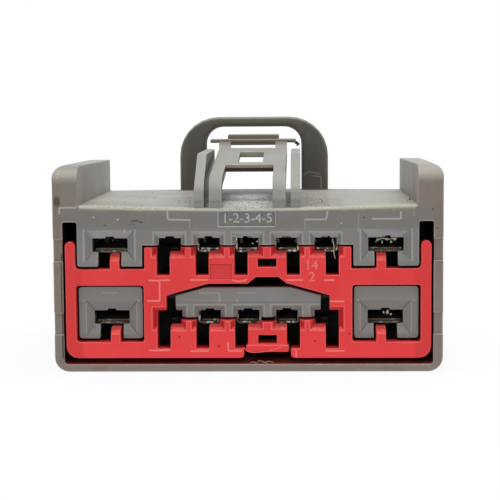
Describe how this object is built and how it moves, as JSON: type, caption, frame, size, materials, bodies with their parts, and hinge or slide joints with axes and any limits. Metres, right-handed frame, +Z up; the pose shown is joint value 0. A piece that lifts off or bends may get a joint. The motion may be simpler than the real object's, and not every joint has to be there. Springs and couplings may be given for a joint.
{
  "type": "wiring harness connector",
  "caption": "Rectangular plastic harness connector with two rows of sockets, a front terminal retainer, a sprung top latch, side ears and a rear guard loop.",
  "frame": {"origin": "middle of the underside, at the centre of the bounding box", "axes": "+Z up, +X to the right seen from the mating face, -Y the way the mating face looks, +Y towards the wires"},
  "size_m": [0.04, 0.027, 0.0259],
  "materials": {
    "housing_grey": "moulded warm grey, slightly worn and dusty",
    "retainer_red": "moulded red, satin",
    "terminal_tin": "tin plated copper alloy sheet"
  },
  "bodies": {
    "housing": {"housing": "housing_grey", "large_terminal_upper_left": "terminal_tin", "large_terminal_upper_right": "terminal_tin", "large_terminal_lower_left": "terminal_tin", "large_terminal_lower_right": "terminal_tin", "small_terminal_upper_2": "terminal_tin", "small_terminal_upper_3": "terminal_tin", "small_terminal_upper_4": "terminal_tin", "small_terminal_upper_5": "terminal_tin", "small_terminal_lower_2": "terminal_tin", "small_terminal_lower_3": "terminal_tin", "small_terminal_lower_4": "terminal_tin"},
    "retainer": {"front_retainer": "retainer_red"}
  },
  "joints": [
    {"name": "retainer_slide", "type": "slide", "parent": "housing", "child": "retainer", "axis": [0, -1, 0], "range_m": [0, 0.0025]}
  ]
}
